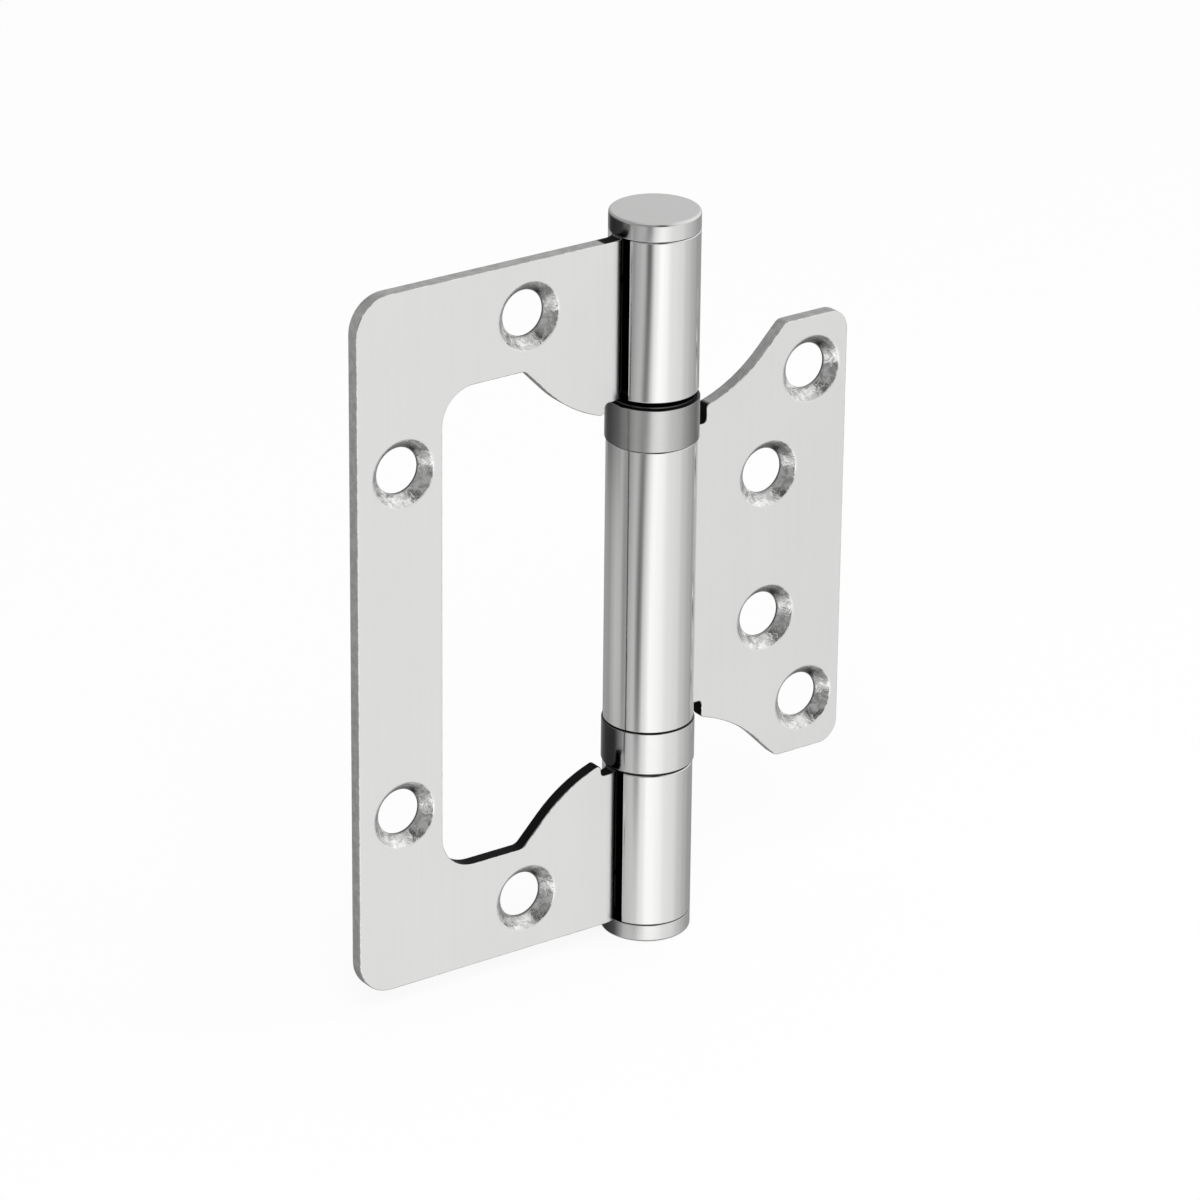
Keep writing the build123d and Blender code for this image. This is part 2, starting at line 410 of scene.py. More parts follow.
    def painted_recess_shade(self) -> Tree:
        """A mask of painted shade: inside the barrel, between its pieces, on end faces and on faces that look
        into the notches beside a leaf.

        Returns:
            The group, with the output Dark from 0 to 1.
        """
        inputs = {
            "Position": "vector", "Facing": "vector", "Clear radius": 0.0, "Clear height": 0.0,
            "End faces": 0.0, "Notches": 0.0, "Both sides": 1.0,
        }
        sheet, source = new_effect("painted_recess_shade", inputs)
        x, y, z = sheet.split("place on the piece", source["Position"])
        facing = sheet.split("way the surface faces", source["Facing"])
        radius = sheet.pin_distance(x, y)
        depth = sheet.math("depth below the outside", "SUBTRACT", source["Clear radius"], radius)
        inside = sheet.ramp("inside", depth, INTO_BARREL)
        height = sheet.math("distance from mid height", "ABSOLUTE", z)
        below = sheet.math("depth below the rim", "SUBTRACT", source["Clear height"], height)
        covered = sheet.math("inside or under", "MAXIMUM", inside, sheet.ramp("under the rim", below, UNDER_CAP))

        ends = sheet.ramp("facing up or down", sheet.math("up or down", "ABSOLUTE", facing[2]), RING_UP)
        end_faces = sheet.math("end faces", "MULTIPLY", ends, source["End faces"])
        large_side = sheet.math("towards the large leaf", "MULTIPLY", facing[0], -1.0)
        small_side = sheet.math("towards the small leaf", "MULTIPLY", facing[0], source["Both sides"])
        either = sheet.math("to either side", "MAXIMUM", large_side, small_side)
        leafward = sheet.math("towards a leaf", "MULTIPLY", either, NOTCH_WAY[0])
        notchward = sheet.math("and a little back", "MULTIPLY_ADD", facing[1], NOTCH_WAY[1], leafward)
        beside = sheet.ramp("facing a notch", notchward, NOTCHWARDS)
        notches = sheet.math("beside the notches", "MULTIPLY", beside, source["Notches"])
        exposed = sheet.math("at an end or a notch", "MAXIMUM", end_faces, notches)
        return sheet.give({"Dark": sheet.math("any of these", "MAXIMUM", exposed, covered)})

    def sheared_patches(self) -> Tree:
        """Broken patches, as shearing and a chattering tool leave them.

        Returns:
            The group, with the outputs Tone, which is 1 on average, and Height from 0 to 1.
        """
        inputs = {"Position": "vector", "Patches per metre": 900.0, "Contrast": 0.2}
        sheet, source = new_effect("sheared_patches", inputs)
        shape = {"Scale": source["Patches per metre"], "Detail": 3.0, "Roughness": 0.6, "Distortion": 0.6}
        broken = sheet.noise("broken patches", source["Position"], **shape)
        stepped = sheet.ramp("patches", broken, (0.35, 0.65))
        centred = sheet.math("about zero", "SUBTRACT", stepped, 0.5)
        tone = sheet.math("tone of the patches", "MULTIPLY_ADD", centred, source["Contrast"], 1.0)
        return sheet.give({"Tone": tone, "Height": stepped})


@dataclass(frozen=True)
class SteelFinish:
    """One finish of stainless steel.

    Attributes:
        name: Name of the material.
        tone: Colour of the metal.
        roughness: How far the shine is spread.
        direction: Which way its fine lines run.
        contrast: How far the lines change the tone.
        depth: Height of the lines, in metres.
        lines: Lines per metre.
        haze: How far patches change the roughness.
        rim_highlight_tone: Factor on the tone along the outer edges, a painted highlight.
        clear_radius: Nearer to the pin axis than this, shade is painted on the piece.
        clear_height: Nearer to mid height than this, shade is painted on the piece.
        dark_ends: Share of that painted shade on faces that point up or down.
        dark_notches: Share of it on faces that look into the notches beside the barrel.
        both_sides: 1 if that holds towards both leaves, 0 if only towards the large leaf.
        painted_shade_tone: Factor on the tone in that painted shade.
        painted_side_shade: Share of the tone that is lost where the surface turns away from the eye, as painted
            shade on the sides.
    """

    name: str
    tone: Tone
    roughness: float
    direction: GrainDirection
    contrast: float = 0.25
    depth: float = 0.002 * MM
    lines: float = 7000.0
    haze: float = 0.04
    rim_highlight_tone: float = 1.05
    clear_radius: float = 0.0
    clear_height: float = 0.0
    dark_ends: float = 0.0
    dark_notches: float = 0.0
    both_sides: float = 1.0
    painted_shade_tone: float = 0.05
    painted_side_shade: float = 0.0

    def polish(self, sheet: NodeSheet, effects: Effects, place: Outputs) -> Surface:
        """Places the fine lines, the patches and the rubbed edges that every finish has.

        Args:
            sheet: The material's sheet.
            effects: The shared effects.
            place: The surface coordinates.

        Returns:
            The tone's factor, the roughness and the height of the lines.
        """
        group = effects.grain if self.direction is GrainDirection.ALONG_PIN else effects.turning
        values = {"Position": place["Object"], "Lines per metre": self.lines, "Contrast": self.contrast}
        grain = sheet.effect(group, self.direction.value, values)
        haze = sheet.effect(effects.haze, "patches from handling", {"Position": place["Object"]})["Haze"]
        # Painted highlight: the tone is raised a little along the rounded edges.
        rim_highlight = sheet.effect(effects.rim_highlight, "edges with painted highlight", {})["Rim"]
        brighter = sheet.math("painted highlight on the edges", "MULTIPLY_ADD", rim_highlight, self.rim_highlight_tone - 1.0, 1.0)
        factor = sheet.math("tone factor", "MULTIPLY", grain["Tone"], brighter)
        roughness = sheet.math("roughness", "MULTIPLY_ADD", haze, self.haze, self.roughness)
        return factor, roughness, grain["Height"]

    def surface(self, sheet: NodeSheet, effects: Effects, place: Outputs) -> Surface:
        """Works out the tone's factor, the roughness and the normal, without the dark places."""
        factor, roughness, height = self.polish(sheet, effects, place)
        return factor, roughness, sheet.bump("height of the lines", height, self.depth)

    def darkened(self, sheet: NodeSheet, effects: Effects, place: Outputs, factor: Socket) -> Socket:
        """Paints shade into the tone inside the barrel and, if the finish says so, where it turns away.

        Args:
            sheet: The material's sheet.
            effects: The shared effects.
            place: The surface coordinates.
            factor: The tone's factor so far.

        Returns:
            The tone's factor with the dark places.
        """
        values = {
            "Position": place["Object"], "Facing": place["Normal"],
            "Clear radius": self.clear_radius, "Clear height": self.clear_height,
            "End faces": self.dark_ends, "Notches": self.dark_notches, "Both sides": self.both_sides,
        }
        # Painted shade: darker inside the barrel, between the pieces, on end faces and beside the notches.
        dark = sheet.effect(effects.painted_shade, "dark inside the barrel", values)["Dark"]
        left = sheet.math("left of the tone", "MULTIPLY_ADD", dark, self.painted_shade_tone - 1.0, 1.0)
        factor = sheet.math("with the dark places", "MULTIPLY", factor, left)
        # Painted shade on the sides that turn away from the eye.
        if self.painted_side_shade:
            turned = sheet.add("ShaderNodeLayerWeight", "turned from the eye", {"Blend": 0.5}).outputs["Facing"]
            kept = sheet.math("tone kept", "MULTIPLY_ADD", turned, -self.painted_side_shade, 1.0)
            factor = sheet.math("with painted shade on the sides", "MULTIPLY", factor, kept)
        return factor

    def build(self, effects: Effects) -> bpy.types.Material:
        """Builds the material.

        Args:
            effects: The shared effects.

        Returns:
            The finished material.
        """
        material = bpy.data.materials.new(self.name)
        sheet = empty_sheet(material)
        place = sheet.add("ShaderNodeTexCoord", "place on the piece").outputs
        factor, roughness, normal = self.surface(sheet, effects, place)
        toned = {0: self.tone, "Scale": self.darkened(sheet, effects, place, factor)}
        colour = sheet.add("ShaderNodeVectorMath", "tone over the surface", toned, operation="SCALE").outputs[0]
        steel = {"Base Color": colour, "Metallic": 1.0, "Roughness": roughness, "Normal": normal}
        shader = sheet.add("ShaderNodeBsdfPrincipled", "steel", steel)
        sheet.add("ShaderNodeOutputMaterial", "surface", {"Surface": shader.outputs[0]})
        return material


@dataclass(frozen=True)
class LeafFinish(SteelFinish):
    """Finish of a leaf: brushed faces, a polished knuckle, cut edges and machined screw sinks.

    Attributes:
        knuckle_roughness: Roughness of the rolled knuckle.
        knuckle_tone: Factor on the tone of the knuckle.
        edge_roughness: Roughness of the cut edges.
        edge_tone: Factor on the tone of the cut edges.
        end_painted_shade_tone: The same for the edges that point up or down, with painted shade on top of the
            cut edges' own tone.
        inner_edge_painted_shade: Factor on the tone of the edges in the window and the notches, nearly black
            with painted shade.
        inner_roughness: Roughness of those edges.
        sink_roughness: Roughness of the screw sinks.
        sink_tone: Factor on the tone of the screw sinks.
        mottling: How far the chatter changes the tone of the sinks.
        hood_painted_shade: Share of their tone that is lost where they face down, a painted shade.
        hole_wall_painted_shade: Factor on the tone of the holes' walls, a painted shade.
        chatter: Height of the tool's chatter in the sinks, in metres.
        outer_hole: Place of the holes farther from the pin, above mid height, in metres.
        inner_hole: The same for the nearer holes.
        window_reach: Pin axis to just past the window, or 0 without one.
        window_rise: Mid height to just past the window, or 0 without one.
    """

    knuckle_roughness: float = 0.1
    knuckle_tone: float = 0.9
    edge_roughness: float = 0.45
    edge_tone: float = 0.85
    end_painted_shade_tone: float = 0.64
    inner_edge_painted_shade: float = 0.03
    inner_roughness: float = 0.8
    sink_roughness: float = 0.18
    sink_tone: float = 0.92
    mottling: float = 0.5
    hood_painted_shade: float = 0.95
    hole_wall_painted_shade: float = 0.2
    chatter: float = 0.03 * MM
    outer_hole: Place = (0.0, 0.0, 0.0)
    inner_hole: Place = (0.0, 0.0, 0.0)
    window_reach: float = 0.0
    window_rise: float = 0.0

    def surface(self, sheet: NodeSheet, effects: Effects, place: Outputs) -> Surface:
        """Works out the surface zone by zone, without the dark places inside the barrel.

        Args:
            sheet: The material's sheet.
            effects: The shared effects.
            place: The surface coordinates.

        Returns:
            The tone's factor, the roughness and the normal.
        """
        polished, roughness, height = self.polish(sheet, effects, place)
        shear = sheet.effect(effects.shear, "sheared and chattered places", {"Position": place["Object"]})
        where = {
            "Position": place["Object"], "Facing": place["Normal"],
            "Outer hole": self.outer_hole, "Inner hole": self.inner_hole,
            "Window reach": self.window_reach, "Window rise": self.window_rise,
        }
        zones = sheet.effect(effects.zones, "parts of the leaf", where)
        lowest = self.sink_tone - self.mottling / 2
        mottled = sheet.math("mottled sinks", "MULTIPLY_ADD", shear["Height"], self.mottling, lowest)
        # Painted shade on the hooded part of the sinks.
        hooded = sheet.math("left under the hood", "MULTIPLY_ADD", zones["Hood"], -self.hood_painted_shade, 1.0)
        sinks = sheet.math("darker where hooded", "MULTIPLY", mottled, hooded)
        # Edges and knuckle ends that face up or down are darker still: painted shade.
        edges = sheet.mix("darker ends", zones["End"], self.edge_tone, self.end_painted_shade_tone)
        sheared = sheet.math("sheared edges", "MULTIPLY", shear["Tone"], edges)
        worked = 1.0
        for zone, label, tone in (
            ("Knuckle", "polished knuckle", self.knuckle_tone),
            ("Sink", "machined sinks", sinks),
            ("Cut Edge", "darker cut edges", sheared),
            # The inner edges get painted shade.
            ("Inner Edge", "dark inner edges", self.inner_edge_painted_shade),
            # The holes' walls get painted shade.
            ("Hole Wall", "dark walls of the holes", self.hole_wall_painted_shade),
        ):
            worked = sheet.mix(label, zones[zone], worked, tone)
        for zone, label, other in (
            ("Knuckle", "smoother knuckle", self.knuckle_roughness),
            ("Sink", "roughness of the sinks", self.sink_roughness),
            ("Cut Edge", "roughness of the cut edges", self.edge_roughness),
            ("Inner Edge", "roughness of the inner edges", self.inner_roughness),
        ):
            roughness = sheet.mix(label, zones[zone], roughness, other)
        marks = sheet.math("chatter in the sinks", "MULTIPLY", shear["Height"], zones["Sink"])
        chatter = sheet.bump("height of the chatter", marks, self.chatter)
        normal = sheet.bump("height of the lines", height, self.depth, Normal=chatter)
        return sheet.math("with the zones", "MULTIPLY", worked, polished), roughness, normal


# Painted shade on the leaves inside the barrel.
LARGE_LEAF_STEEL = LeafFinish(
    "large_leaf_steel", (0.86, 0.86, 0.852), 0.3, GrainDirection.ALONG_PIN,
    contrast=0.07, depth=0.0008 * MM, clear_radius=BARREL_INSIDE,
    outer_hole=(40.8 * MM, 0.0, 24.6 * MM), inner_hole=(21.1 * MM, 0.0, 42.35 * MM),
    window_reach=35.5 * MM, window_rise=35.5 * MM,
)
SMALL_LEAF_STEEL = LeafFinish(
    "small_leaf_steel", (0.84, 0.84, 0.832), 0.3, GrainDirection.ALONG_PIN,
    contrast=0.07, depth=0.0008 * MM, clear_radius=BARREL_INSIDE,
    outer_hole=(26.3 * MM, 0.0, 24.6 * MM), inner_hole=(19.4 * MM, 0.0, 10.7 * MM),
)
# Painted shade on the caps under their rims and on their sides towards the large leaf.
CAP_STEEL = SteelFinish(
    "cap_steel_turned", (0.74, 0.74, 0.735), 0.16, GrainDirection.ROUND_PIN, contrast=0.1,
    depth=0.001 * MM, clear_height=LEAF_HALF_HEIGHT + UNDER_CAP[1], dark_notches=0.9, both_sides=0.0,
)
# Painted shade on the cups inside the barrel, on their end faces and beside the notches.
BRIGHT_CUP_STEEL = SteelFinish(
    "cup_steel_bright", (0.76, 0.76, 0.755), 0.1, GrainDirection.ROUND_PIN, contrast=0.1,
    depth=0.001 * MM, clear_radius=BARREL_INSIDE, dark_ends=1.0, dark_notches=1.0,
)
# The same painted shade, less beside the notches, and painted shade on the sides that turn from the eye.
DULL_CUP_STEEL = SteelFinish(
    "cup_steel_dull", (0.62, 0.62, 0.612), 0.16, GrainDirection.ROUND_PIN, contrast=0.12,
    depth=0.001 * MM, clear_radius=BARREL_INSIDE, dark_ends=1.0, dark_notches=0.45, painted_side_shade=0.9,
)
# The whole pin lies inside its clear radius, so painted shade makes it nearly black.
PIN_STEEL = SteelFinish(
    "pin_steel_painted_shade", (0.6, 0.6, 0.6), 0.18, GrainDirection.ROUND_PIN, contrast=0.12, clear_radius=5.0 * MM
)
# Painted shade on the races inside their clear radius.
RACE_STEEL = SteelFinish(
    "race_steel_painted_shade", (0.68, 0.68, 0.69), 0.15, GrainDirection.ROUND_PIN, contrast=0.12,
    clear_radius=7.0 * MM, painted_shade_tone=0.12,
)
BALL_STEEL = SteelFinish(
    "ball_steel_polished", (0.74, 0.74, 0.75), 0.06, GrainDirection.ROUND_PIN, contrast=0.02,
    depth=0.0002 * MM, haze=0.02,
)
CAGE_STEEL = SteelFinish(
    "cage_steel_pressed", (0.55, 0.55, 0.54), 0.32, GrainDirection.ALONG_PIN, contrast=0.12, lines=4000.0
)


@dataclass
class Dresser:
    """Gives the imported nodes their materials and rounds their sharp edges.

    Attributes:
        effects: The shared effects.
        made: Materials that are built already, by name.
        weld_distance: Corners nearer than this are one corner, in metres.
        flat_angle: Facets that bend less than this are one flat face, in degrees.
        sharp_angle: Edges that bend more than this are rounded, in degrees.
        flat_weight: How far large faces rule the shading at their edges, in percent.
    """

    effects: Effects = field(default_factory=Effects)
    made: dict[str, bpy.types.Material] = field(default_factory=dict)
    weld_distance: float = 0.001 * MM
    flat_angle: float = 0.1
    sharp_angle: float = 35.0
    flat_weight: int = 60

    def finish(self, node: str, finish: SteelFinish) -> None:
        """Puts one finish on a node.

        Args:
            node: Name of the node.
            finish: The finish to put on it.
        """
        if finish.name not in self.made:
            self.made[finish.name] = finish.build(self.effects)
        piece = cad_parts[node]
        piece.data.materials.clear()
        piece.data.materials.append(self.made[finish.name])
        log.info("%s has the finish %s", node, finish.name)

    def round_edges(self, node: str, width: float, steps: int) -> None:
        """Rounds the sharp edges of a node.

        Args:
            node: Name of the node.
            width: Width of the rounding, in metres.
            steps: Facets across the rounding.
        """
        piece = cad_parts[node]
        weld = piece.modifiers.new("joined_corners", "WELD")
        weld.merge_threshold = self.weld_distance
        flat = piece.modifiers.new("flat_faces", "DECIMATE")
        flat.decimate_type = "DISSOLVE"
        flat.angle_limit = math.radians(self.flat_angle)
        bevel = piece.modifiers.new("rounded_edges", "BEVEL")
        bevel.width = width
        bevel.segments = steps
        bevel.limit_method = "ANGLE"
        bevel.angle_limit = math.radians(self.sharp_angle)
        bevel.use_clamp_overlap = False
        bevel.loop_slide = False
        bevel.miter_outer = "MITER_ARC"
        normals = piece.modifiers.new("shading", "WEIGHTED_NORMAL")
        normals.mode = "FACE_AREA_WITH_ANGLE"
        normals.weight = self.flat_weight
        normals.keep_sharp = False
        log.info("%s has edges rounded by %.2f mm", node, width / MM)


@dataclass
class Leaf:
    """One leaf of the hinge, with its rolled knuckles.

    Attributes:
        node: Name of its node.
        steel: Its finish.
        edge_width: Rounding that stamping and polishing leave on its edges, in metres.
        edge_steps: Facets across that rounding.
    """

    node: str
    steel: LeafFinish
    edge_width: float = 0.2 * MM
    edge_steps: int = 3

    def dress(self, dresser: Dresser) -> None:
        """Rounds and finishes the leaf."""
        dresser.round_edges(self.node, self.edge_width, self.edge_steps)
        dresser.finish(self.node, self.steel)


@dataclass
class PinAndCaps:
    """The hinge pin and the flat caps that close the barrel.

    Attributes:
        edge_width: Rounding on the caps' edges, in metres.
        edge_steps: Facets across that rounding.
    """

    edge_width: float = 0.15 * MM
    edge_steps: int = 3

    def dress(self, dresser: Dresser) -> None:
        """Rounds the caps and finishes the pin and caps.

        Args:
            dresser: Gives the finishes.
        """
        for cap in ("top_cap", "bottom_cap"):
            dresser.round_edges(cap, self.edge_width, self.edge_steps)
            dresser.finish(cap, CAP_STEEL)
        dresser.finish("hinge_pin", PIN_STEEL)


@dataclass
class ThrustBearing:
    """One bearing between two knuckles: a cup, two races, a cage and its balls.

    Attributes:
        level: "upper" or "lower".
        cup_steel: Finish of its cup.
        edge_width: Rounding on the cup's edges, in metres.
        edge_steps: Facets across that rounding.
    """

    level: str
    cup_steel: SteelFinish
    edge_width: float = 0.05 * MM
    edge_steps: int = 2

    def balls(self) -> list[str]:
        """Finds the names of this bearing's balls."""
        start = f"{self.level}_ball_"
        return sorted(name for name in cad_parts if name.startswith(start) and name[-1].isdigit())

    def dress(self, dresser: Dresser) -> None:
        """Rounds the cup and finishes every piece of the bearing.

        Args:
            dresser: Gives the finishes.
        """
        cup = f"{self.level}_bearing_cup"
        dresser.round_edges(cup, self.edge_width, self.edge_steps)
        dresser.finish(cup, self.cup_steel)
        for race in ("seated_race", "free_race"):
            dresser.finish(f"{self.level}_{race}", RACE_STEEL)
        dresser.finish(f"{self.level}_ball_cage", CAGE_STEEL)
        for ball in self.balls():
            dresser.finish(ball, BALL_STEEL)


@dataclass
class PhotoCamera:
    """The camera, at the photograph's viewing angle.

    Attributes:
        azimuth: Turn about +Z, in degrees. 0 looks along +Y.
        pitch: Height above the horizon, in degrees.
        roll: Turn about the line of sight, in degrees.
        target: Point in the middle of the picture, in metres.
        distance: Camera to target, in metres.
        focal: Focal length, in pixels of the picture.
        picture: Width of the picture, in pixels.
        sensor: Width of the sensor, in millimetres.
        clip: Nearest and farthest distance that is drawn, in metres.
    """

    azimuth: float = -35.302
    pitch: float = 23.742
    roll: float = 0.622
    target: Place = (-0.0054710, 0.0038740, -0.0038489)
    distance: float = 0.817776
    focal: float = 6034.3
    picture: int = 1200
    sensor: float = 36.0
    clip: Step = (0.01, 20.0)

    def build(self) -> bpy.types.Object:
        """Makes the scene's camera.

        Returns:
            The camera object.
        """
        a, e, r = (math.radians(angle) for angle in (self.azimuth, self.pitch, self.roll))
        back = Vector((math.sin(a) * math.cos(e), -math.cos(a) * math.cos(e), math.sin(e)))
        level = Vector((math.cos(a), math.sin(a), 0.0))
        upright = back.cross(level)
        right = level * math.cos(r) + upright * math.sin(r)
        up = upright * math.cos(r) - level * math.sin(r)
        lens = bpy.data.cameras.new("photo_camera")
        lens.sensor_width = self.sensor
        lens.lens = self.focal / self.picture * self.sensor
        lens.clip_start, lens.clip_end = self.clip
        camera = bpy.data.objects.new("photo_camera", lens)
        bpy.context.scene.collection.objects.link(camera)
        turn = Matrix((right, up, back)).transposed().to_4x4()
        camera.matrix_world = Matrix.Translation(Vector(self.target) + back * self.distance) @ turn
        bpy.context.scene.camera = camera
        log.info("camera set %.0f mm from the hinge", self.distance / MM)
        return camera


@dataclass(frozen=True)
class Lamp:
    """One soft square lamp that points at the hinge.

    Attributes:
        name: Name of the lamp.
        place: Where it is, in metres.
        power: Its power, in watts.
        size: Side of its square, in metres.
    """

    name: str
    place: Place
    power: float
    size: float = 0.6

    def build(self) -> None:
        """Makes the lamp, which reflections don't show."""
        light = bpy.data.lights.new(self.name, "AREA")
        light.shape = "SQUARE"
        light.size = self.size
        light.energy = self.power
        lamp = bpy.data.objects.new(self.name, light)
        lamp.location = self.place
        lamp.rotation_mode = "QUATERNION"
        lamp.rotation_quaternion = Vector(self.place).to_track_quat("Z", "Y")
        lamp.visible_glossy = False
        bpy.context.scene.collection.objects.link(lamp)


@dataclass(frozen=True)
class LightRoom:
    """Soft walls, ceiling and floor of light all round, which the steel reflects.

    A direction is a share of a full turn from +Y, and a height is the upward part of a direction.

    Attributes:
        walls: Brightness round the hinge, as (degrees from +X, brightness), from +Y round to +Y.
        low_walls: The same for the foot of the walls.
        ceiling: The same for the light that falls from above the horizon.
        overhead: Brightness straight above.
        underneath: Brightness straight below.
        brightest: Brightness that a full white in the tables' ramps stands for.
        lean_foot: Height below which the walls' pattern stands straight.
        lean_most: How far it turns with height above that at most.
        lean_start: Directions between which the turning starts.
        lean_end: Directions between which it ends.
        stand: Directions between which a dark stand starts, and ends.
        stand_darkness: How dark the stand is.
        corner: Directions between which a dark corner ends.
        corner_foot: Heights between which the corner starts.
        corner_head: Heights between which it ends.
        corner_darkness: How dark the corner is.
        foot: Heights between the walls' foot and the walls.
        horizon: Heights between the walls and the ceiling.
        zenith: Heights between the ceiling and the light straight above.
        nadir: Heights between the light straight below and the walls.
    """

    walls: Levels = (
        (90, 0.4), (112, 0.4), (126, 0.54), (140, 0.66), (152, 0.62), (166, 0.32), (178, 0.48), (190, 0.62),
        (212, 0.75), (222, 0.95), (236, 1.3), (252, 1.2), (285, 0.95), (306, 0.88), (325, 0.68), (350, 0.52),
        (368, 0.4), (414, 0.36), (450, 0.4),
    )
    low_walls: Levels = (
        (90, 0.2), (120, 0.2), (140, 0.4), (162, 0.52), (189, 0.66), (205, 0.78), (221, 1.02), (236, 1.22),
        (250, 1.22), (266, 1.12), (285, 0.95), (306, 0.88), (325, 0.68), (350, 0.52), (368, 0.4), (414, 0.3),
        (450, 0.2),
    )
    ceiling: Levels = (
        (90, 0.4), (160, 0.4), (180, 0.38), (205, 0.34), (215, 0.34), (240, 0.34), (248, 0.08), (262, 0.08),
        (273, 0.6), (300, 0.9), (340, 1.0), (375, 0.95), (410, 0.7), (425, 0.6), (440, 0.46), (450, 0.4),
    )
    overhead: float = 0.7
    underneath: float = 0.4
    brightest: float = 2.0
    lean_foot: float = -0.402
    lean_most: float = 0.05
    lean_start: Step = (0.17, 0.25)
    lean_end: Step = (0.45, 0.53)
    stand: tuple[Step, Step] = ((0.285, 0.32), (0.325, 0.36))
    stand_darkness: float = 0.88
    corner: Step = (0.15, 0.2)
    corner_foot: Step = (-0.39, -0.37)
    corner_head: Step = (-0.31, -0.28)
    corner_darkness: float = 0.75
    foot: Step = (-0.434, -0.424)
    horizon: Step = (-0.33, -0.02)
    zenith: Step = (0.84, 0.95)
    nadir: Step = (-0.85, -0.62)

    def ring(self, sheet: NodeSheet, label: str, share: Socket, levels: Levels) -> Socket:
        """Makes one ring of light round the hinge.

        Args:
            sheet: The world's sheet.
            label: What the ring is.
            share: Direction as a share of a full turn, from +Y.
            levels: Brightness by direction, over a full turn.

        Returns:
            The socket with its brightness.
        """
        ramp = sheet.add("ShaderNodeValToRGB", label, {0: share})
        ramp.color_ramp.interpolation = "EASE"
        stops = ramp.color_ramp.elements
        while len(stops) > 1:
            stops.remove(stops[-1])
        first, last = levels[0][0], levels[-1][0]
        for number, (angle, level) in enumerate(levels):
            where = (angle - first) / (last - first)
            stop = stops[0] if number == 0 else stops.new(where)
            stop.position = where
            grey = level / self.brightest
            stop.color = (grey, grey, grey, 1.0)
        return sheet.math("full strength", "MULTIPLY", ramp.outputs[0], self.brightest)

    def leaned(self, sheet: NodeSheet, share: Socket, height: Socket) -> Socket:
        """Turns the walls' pattern with height, on the left of the picture.

        Args:
            sheet: The world's sheet.
            share: Direction as a share of a full turn.
            height: Height of the direction.

        Returns:
            The socket with the turned direction.
        """
        below = sheet.math("below the foot", "SUBTRACT", self.lean_foot, height)
        bounded = sheet.math("at least that way", "MAXIMUM", below, -self.lean_most)
        turned = sheet.math("at most this way", "MINIMUM", bounded, 0.0)
        left = sheet.band("on the left only", share, self.lean_start, self.lean_end)
        return sheet.math("leaned direction", "MULTIPLY_ADD", turned, left, share)

    def unshaded(self, sheet: NodeSheet, bent: Socket, height: Socket) -> Socket:
        """Works out what the dark stand and the dark corner leave of the walls' light.

        Args:
            sheet: The world's sheet.
            bent: The turned direction.
            height: Height of the direction.

        Returns:
            The socket with the share of light that is left.
        """
        stand = sheet.band("dark stand", bent, *self.stand)
        stand_shade = sheet.math("stand's darkness", "MULTIPLY", stand, self.stand_darkness)
        corner = sheet.ramp("dark corner", bent, self.corner, FALLING)
        strip = sheet.band("height of the corner", height, self.corner_foot, self.corner_head)
        strip_shade = sheet.math("not quite black", "MULTIPLY", strip, self.corner_darkness)
        corner_shade = sheet.math("corner at its height", "MULTIPLY", corner, strip_shade)
        shade = sheet.math("corner or stand", "MAXIMUM", stand_shade, corner_shade)
        return sheet.math("light left", "SUBTRACT", 1.0, shade)

    def build(self) -> bpy.types.World:
        """Makes the light, with plain white for the camera.

        Returns:
            The world.
        """
        world = bpy.data.worlds.new("studio_walls")
        sheet = empty_sheet(world)
        place = sheet.add("ShaderNodeTexCoord", "direction").outputs["Generated"]
        x, y, height = sheet.split("direction parts", place)
        back = sheet.math("away from +Y", "MULTIPLY", y, -1.0)
        turn = sheet.math("turn about the pin", "ARCTAN2", x, back)
        share = sheet.math("share of a full turn", "MULTIPLY_ADD", turn, 1 / math.tau, 0.5)
        bent = self.leaned(sheet, share, height)
        walls = self.ring(sheet, "walls", bent, self.walls)
        level = sheet.math("with corner and stand", "MULTIPLY", walls, self.unshaded(sheet, bent, height))
        for label, step, ends, other in (
            ("foot", self.foot, FALLING, self.ring(sheet, "foot of the walls", share, self.low_walls)),
            ("ceiling", self.horizon, RISING, self.ring(sheet, "ceiling", share, self.ceiling)),
            ("light above", self.zenith, RISING, self.overhead),
            ("light below", self.nadir, FALLING, self.underneath),
        ):
            level = sheet.mix(label, sheet.ramp(f"towards the {label}", height, step, ends), level, other)
        seen = sheet.add("ShaderNodeLightPath", "kind of ray").outputs["Is Camera Ray"]
        strength = sheet.mix("white for the camera", seen, level, 1.0)
        light = sheet.add("ShaderNodeBackground", "light all round", {"Color": WHITE, "Strength": strength})
        sheet.add("ShaderNodeOutputWorld", "world", {"Surface": light.outputs[0]})
        return world


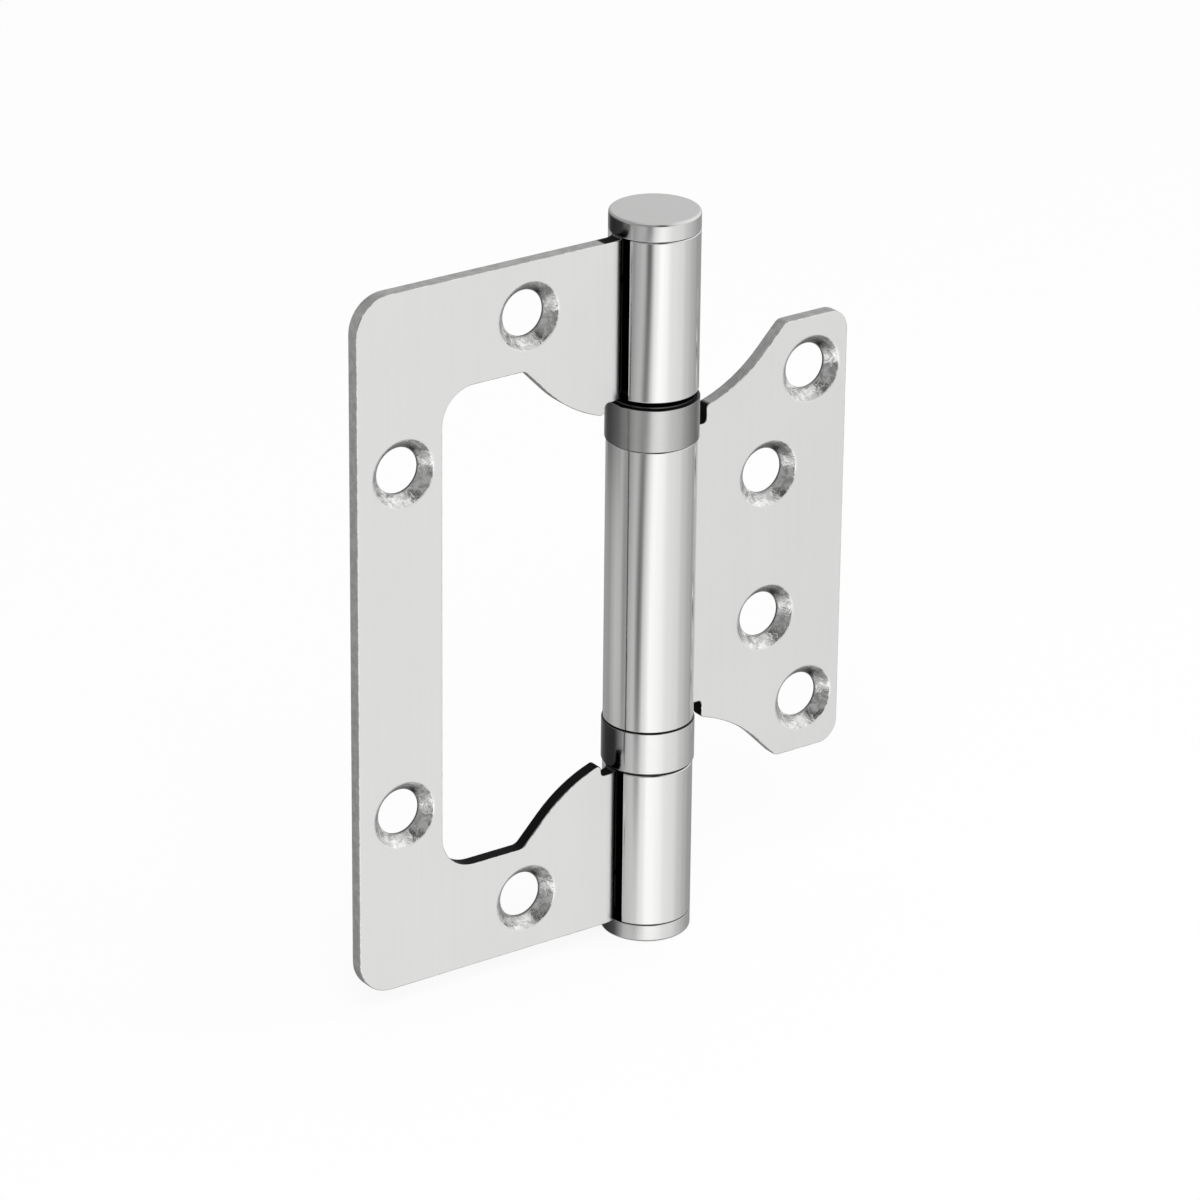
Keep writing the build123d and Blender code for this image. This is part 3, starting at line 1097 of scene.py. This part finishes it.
@dataclass
class Studio:
    """Plain pale floor, a room of soft light, and two soft lamps for the shadow.

    Attributes:
        room: The light that the steel reflects.
        lamps: The lamps, which reflections don't show.
        floor_size: Side of the floor, in metres.
        floor_tone: Tone of the floor's matt paint.
        plain_share: How far the camera sees plain white instead of that paint.
    """

    room: LightRoom = field(default_factory=LightRoom)
    lamps: tuple[Lamp, ...] = (
        Lamp("soft_key", (-0.35, -0.55, 0.75), 5.0),
        Lamp("soft_fill", (0.7, -0.2, 0.5), 2.0),
    )
    floor_size: float = 6.0
    floor_tone: float = 0.9
    plain_share: float = 0.9

    def floor_paint(self) -> bpy.types.Material:
        """Makes the floor's white, which keeps the hinge's shadow.

        Returns:
            The material.
        """
        material = bpy.data.materials.new("floor_white")
        sheet = empty_sheet(material)
        seen = sheet.add("ShaderNodeLightPath", "kind of ray").outputs["Is Camera Ray"]
        grey = (self.floor_tone, self.floor_tone, self.floor_tone, 1.0)
        paint = sheet.add("ShaderNodeBsdfDiffuse", "matt white", {"Color": grey})
        glow = sheet.add("ShaderNodeEmission", "white for the camera", {"Color": WHITE, "Strength": 1.0})
        share = sheet.math("share of plain white", "MULTIPLY", seen, self.plain_share)
        layers = {0: share, 1: paint.outputs[0], 2: glow.outputs[0]}
        mixed = sheet.add("ShaderNodeMixShader", "white that keeps the shadow", layers)
        sheet.add("ShaderNodeOutputMaterial", "surface", {"Surface": mixed.outputs[0]})
        return material

    def build_floor(self) -> None:
        """Makes the pale floor under the lowest point of the hinge."""
        half = self.floor_size / 2
        corners = [(-half, -half, 0.0), (half, -half, 0.0), (half, half, 0.0), (-half, half, 0.0)]
        mesh = bpy.data.meshes.new("floor")
        mesh.from_pydata(corners, [], [(0, 1, 2, 3)])
        mesh.materials.append(self.floor_paint())
        floor = bpy.data.objects.new("floor", mesh)
        floor.location.z = cad_low.z
        floor.visible_glossy = False
        bpy.context.scene.collection.objects.link(floor)

    def build(self) -> None:
        """Makes the whole studio."""
        scene = bpy.context.scene
        scene.view_settings.view_transform = "Standard"
        scene.world = self.room.build()
        self.build_floor()
        for lamp in self.lamps:
            lamp.build()
        log.info("studio set with its floor at %.1f mm", cad_low.z / MM)


def main() -> None:
    """Dresses every piece of the hinge, then sets the studio and the camera."""
    logging.basicConfig(level=logging.INFO, format="%(message)s")
    dresser = Dresser()
    for leaf in (Leaf("large_leaf", LARGE_LEAF_STEEL), Leaf("small_leaf", SMALL_LEAF_STEEL)):
        leaf.dress(dresser)
    PinAndCaps().dress(dresser)
    for level, cup_steel in (("upper", DULL_CUP_STEEL), ("lower", BRIGHT_CUP_STEEL)):
        ThrustBearing(level, cup_steel).dress(dresser)
    Studio().build()
    PhotoCamera().build()


if __name__ == "__main__":
    main()
